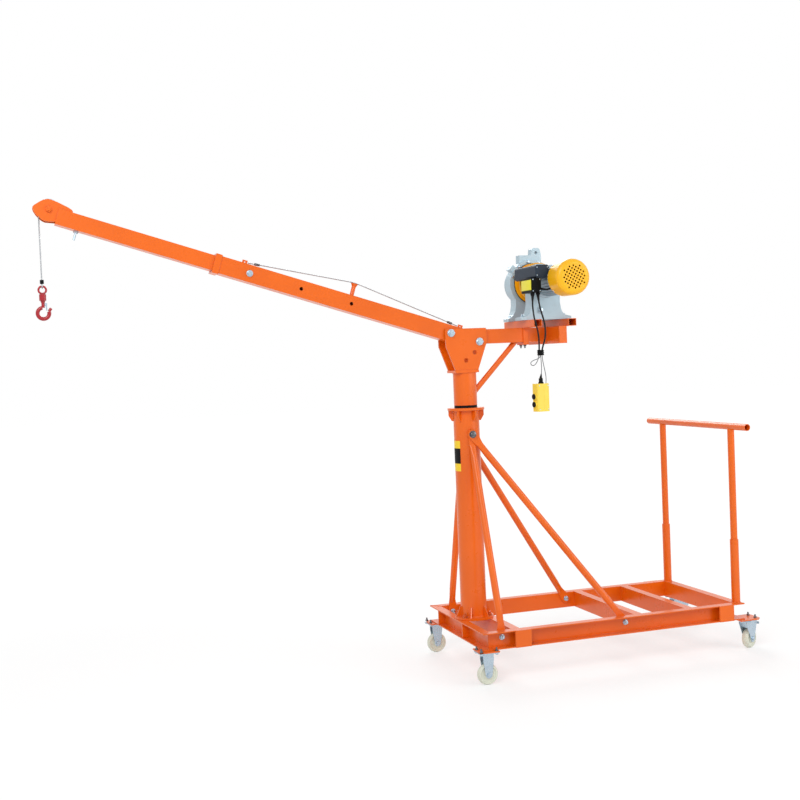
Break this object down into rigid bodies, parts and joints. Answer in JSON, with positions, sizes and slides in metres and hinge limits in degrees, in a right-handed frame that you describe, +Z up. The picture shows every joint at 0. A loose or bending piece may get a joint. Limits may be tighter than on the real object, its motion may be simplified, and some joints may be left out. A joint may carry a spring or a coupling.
{
  "type": "portable mini crane",
  "caption": "Wheeled slewing crane with a braced column, a telescopic luffing boom, a swivel hook, an electric winch, a hanging push-button control and a push handle.",
  "frame": {"origin": "on the floor under the centre of the crane's bounding box, at rest", "axes": "+Z up; -X along the boom towards the hook and +X towards the push handle; +Y to the right of a person who pushes the crane"},
  "size_m": [3.4283, 0.93, 2.2835],
  "materials": {
    "frame_paint": "orange gloss enamel",
    "zinc_plate": "bright zinc plate",
    "cast_housing": "painted die casting, satin grey",
    "drum_paint": "amber enamel",
    "cowl_plastic": "yellow moulded plastic",
    "slate_plastic": "slate moulded plastic",
    "black_plastic": "black moulded plastic",
    "wheel_nylon": "cream cast nylon",
    "wire_rope": "galvanised wire rope",
    "hook_paint": "red enamel",
    "cable_rubber": "black rubber sheath",
    "thin_wire": "grey wire sheath",
    "handset_plastic": "yellow moulded plastic"
  },
  "bodies": {
    "base": {"side_rails": "frame_paint", "end_beams": "frame_paint", "cross_beams": "frame_paint", "closing_plates": "frame_paint", "caster_plates": "frame_paint", "column_tube": "frame_paint", "column_foot": "frame_paint", "column_head": "frame_paint", "left_side_brace": "frame_paint", "right_side_brace": "frame_paint", "left_rear_brace": "frame_paint", "right_rear_brace": "frame_paint", "handle_sockets": "frame_paint", "handle_posts": "frame_paint", "handle_bar": "frame_paint", "front_forks": "zinc_plate", "rear_swivel_plates": "zinc_plate"},
    "front_left_wheel": {"front_left_wheel": "wheel_nylon"},
    "front_right_wheel": {"front_right_wheel": "wheel_nylon"},
    "rear_left_fork": {"rear_left_fork": "zinc_plate"},
    "rear_right_fork": {"rear_right_fork": "zinc_plate"},
    "rear_left_wheel": {"rear_left_wheel": "wheel_nylon"},
    "rear_right_wheel": {"rear_right_wheel": "wheel_nylon"},
    "rear_left_pedal": {"rear_left_pedal": "zinc_plate"},
    "rear_right_pedal": {"rear_right_pedal": "zinc_plate"},
    "mast": {"slew_collar": "black_plastic", "mast_tube": "frame_paint", "head_cheeks": "frame_paint", "boom_pivot_bolt": "zinc_plate", "luff_lock_bolt": "zinc_plate", "counter_beam": "frame_paint", "beam_strut": "frame_paint", "winch_deck": "frame_paint", "motor_bell": "cast_housing", "gear_case": "cast_housing", "motor_body": "cast_housing", "fan_cowl": "cowl_plastic", "capacitor_box": "slate_plastic", "switch_box": "black_plastic", "left_cable": "cable_rubber", "right_cable": "cable_rubber", "pendant_wire": "thin_wire", "side_wires": "thin_wire", "cable_tie": "black_plastic", "pendant": "handset_plastic", "pendant_buttons": "black_plastic"},
    "winch_drum": {"winch_drum": "drum_paint"},
    "outer_boom": {"outer_boom": "frame_paint", "stay_cable": "wire_rope", "extension_bolt_ends": "zinc_plate"},
    "inner_boom": {"inner_boom": "frame_paint", "stop_bolt": "zinc_plate", "tip_cheeks": "frame_paint", "sheave_bolt": "frame_paint"},
    "tip_sheave": {"tip_sheave": "zinc_plate"},
    "hoist_rope": {"hoist_rope": "wire_rope", "rope_crimp": "black_plastic", "hook_eye": "hook_paint"},
    "hook": {"hook": "hook_paint"},
    "hook_latch": {"hook_latch": "zinc_plate"}
  },
  "joints": [
    {"name": "mast_slew", "type": "hinge", "parent": "base", "child": "mast", "pos_m": [0.27644, 0, 1.272], "axis": [0, 0, 1], "continuous": true},
    {"name": "boom_luff", "type": "hinge", "parent": "mast", "child": "outer_boom", "pos_m": [0.19444, 0, 1.637], "axis": [0, 1, 0], "range_deg": [0, 44]},
    {"name": "boom_retract", "type": "slide", "parent": "outer_boom", "child": "inner_boom", "axis": [0.9537, 0, -0.3007], "range_m": [0, 0.5]},
    {"name": "sheave_turn", "type": "hinge", "parent": "inner_boom", "child": "tip_sheave", "pos_m": [-1.63736, 0, 2.23553], "axis": [0, 1, 0], "continuous": true},
    {"name": "rope_plumb", "type": "hinge", "parent": "inner_boom", "child": "hoist_rope", "pos_m": [-1.63736, 0, 2.23553], "axis": [0, 1, 0], "range_deg": [-44, 0]},
    {"name": "hook_swivel", "type": "hinge", "parent": "hoist_rope", "child": "hook", "pos_m": [-1.68036, 0, 1.78603], "axis": [0, 0, 1], "continuous": true},
    {"name": "latch_open", "type": "hinge", "parent": "hook", "child": "hook_latch", "pos_m": [-1.66836, 0, 1.82503], "axis": [0, 1, 0], "range_deg": [0, 20], "stiffness_Nm_per_rad": 0.05, "springref_deg": -17.19},
    {"name": "drum_turn", "type": "hinge", "parent": "mast", "child": "winch_drum", "pos_m": [0.68144, 0, 1.872], "axis": [0, 1, 0], "continuous": true},
    {"name": "front_left_roll", "type": "hinge", "parent": "base", "child": "front_left_wheel", "pos_m": [0.19744, -0.345, 0.05], "axis": [0, 1, 0], "continuous": true},
    {"name": "front_right_roll", "type": "hinge", "parent": "base", "child": "front_right_wheel", "pos_m": [0.19744, 0.345, 0.05], "axis": [0, 1, 0], "continuous": true},
    {"name": "rear_left_swivel", "type": "hinge", "parent": "base", "child": "rear_left_fork", "pos_m": [1.60144, -0.328, 0.1437], "axis": [0, 0, 1], "continuous": true},
    {"name": "rear_left_roll", "type": "hinge", "parent": "rear_left_fork", "child": "rear_left_wheel", "pos_m": [1.63234, -0.31157, 0.05], "axis": [-0.4695, 0.8829, 0], "continuous": true},
    {"name": "rear_left_brake", "type": "hinge", "parent": "rear_left_fork", "child": "rear_left_pedal", "pos_m": [1.65883, -0.29748, 0.1237], "axis": [-0.4695, 0.8829, 0], "range_deg": [0, 14]},
    {"name": "rear_right_swivel", "type": "hinge", "parent": "base", "child": "rear_right_fork", "pos_m": [1.60144, 0.328, 0.1437], "axis": [0, 0, 1], "continuous": true},
    {"name": "rear_right_roll", "type": "hinge", "parent": "rear_right_fork", "child": "rear_right_wheel", "pos_m": [1.6361, 0.33287, 0.05], "axis": [-0.1392, 0.9903, 0], "continuous": true},
    {"name": "rear_right_brake", "type": "hinge", "parent": "rear_right_fork", "child": "rear_right_pedal", "pos_m": [1.66581, 0.33705, 0.1237], "axis": [-0.1392, 0.9903, 0], "range_deg": [0, 14]}
  ],
  "couplings": [
    {"joint": "rope_plumb", "follows": "boom_luff", "ratio": -1}
  ]
}
